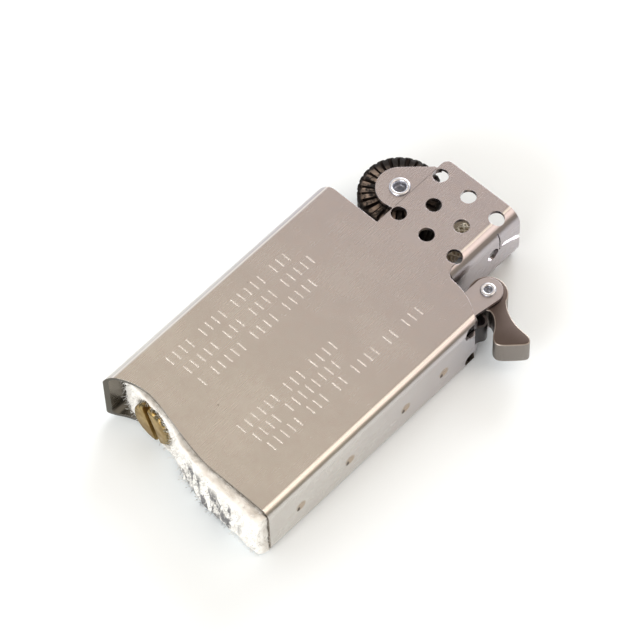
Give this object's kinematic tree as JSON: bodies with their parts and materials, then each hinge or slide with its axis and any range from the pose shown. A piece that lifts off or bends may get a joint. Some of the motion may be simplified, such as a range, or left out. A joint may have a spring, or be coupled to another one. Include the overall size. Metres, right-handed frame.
{
  "type": "lighter",
  "caption": "Inside unit of a slim flip-top lighter: steel case with vented chimney, flint wheel, cam lever, wick and felt-covered base with flint screw.",
  "frame": {"origin": "centre of the case's flat back face", "axes": "+X across the case from the flint wheel's side to the cam's side, +Y along it from the felt end to the chimney, +Z out of the front face"},
  "size_m": [0.0334, 0.0532, 0.009],
  "materials": {
    "case_steel": "satin, fine lengthwise brushing",
    "deck_steel": "satin",
    "rivet_steel": "bright",
    "wheel_steel": "hardened, worn, coarse file teeth",
    "cam_steel": "sintered, tumbled smooth",
    "spring_steel": "blued",
    "brass": "turned",
    "flint_alloy": "rough",
    "copper": "drawn wire",
    "wick_cotton": "braided, scorched at the end",
    "packing_cotton": "loose cotton wool",
    "felt": "pressed felt, grimy near the screw"
  },
  "bodies": {
    "case": {"case_shell": "case_steel", "deck_plate": "deck_steel", "flint_tube": "brass", "wheel_rivet": "rivet_steel", "cam_rivet": "rivet_steel", "cam_spring": "spring_steel", "wick": "wick_cotton", "wick_wire": "copper", "packing_ball_1": "packing_cotton", "packing_ball_2": "packing_cotton", "packing_ball_3": "packing_cotton", "packing_ball_4": "packing_cotton", "felt_pad": "felt"},
    "wheel": {"flint_wheel": "wheel_steel"},
    "cam": {"cam_lever": "cam_steel"},
    "feed_spring": {"flint_spring": "spring_steel"},
    "screw": {"flint_screw": "brass"},
    "flint_stack": {"flint": "flint_alloy", "spring_tip": "brass"},
    "flap": {"felt_flap": "felt"}
  },
  "joints": [
    {"name": "wheel_spin", "type": "hinge", "parent": "case", "child": "wheel", "pos_m": [-0.00645, 0.0252, 0.0045], "axis": [0, 0, 1], "continuous": true},
    {"name": "cam_pivot", "type": "hinge", "parent": "case", "child": "cam", "pos_m": [0.01106, 0.02216, 0.0045], "axis": [0, 0, 1], "range_deg": [0, 115]},
    {"name": "screw_travel", "type": "slide", "parent": "case", "child": "feed_spring", "axis": [0, -1, 0], "range_m": [0, 0.004]},
    {"name": "screw_turn", "type": "hinge", "parent": "feed_spring", "child": "screw", "pos_m": [-0.0068, -0.01935, 0.0045], "axis": [0, -1, 0], "range_deg": [0, 2880]},
    {"name": "flint_feed", "type": "slide", "parent": "case", "child": "flint_stack", "axis": [0, 1, 0], "range_m": [-0.0025, 0], "stiffness_N_per_m": 100, "springref_m": 0.003, "deforming": ["flint_spring"]},
    {"name": "flap_lift", "type": "hinge", "parent": "case", "child": "flap", "pos_m": [-0.0032, -0.01835, 0.0045], "axis": [0, 0, -1], "range_deg": [0, 60]}
  ],
  "couplings": [
    {"joint": "screw_turn", "follows": "screw_travel", "rad_per_m": 12566}
  ]
}
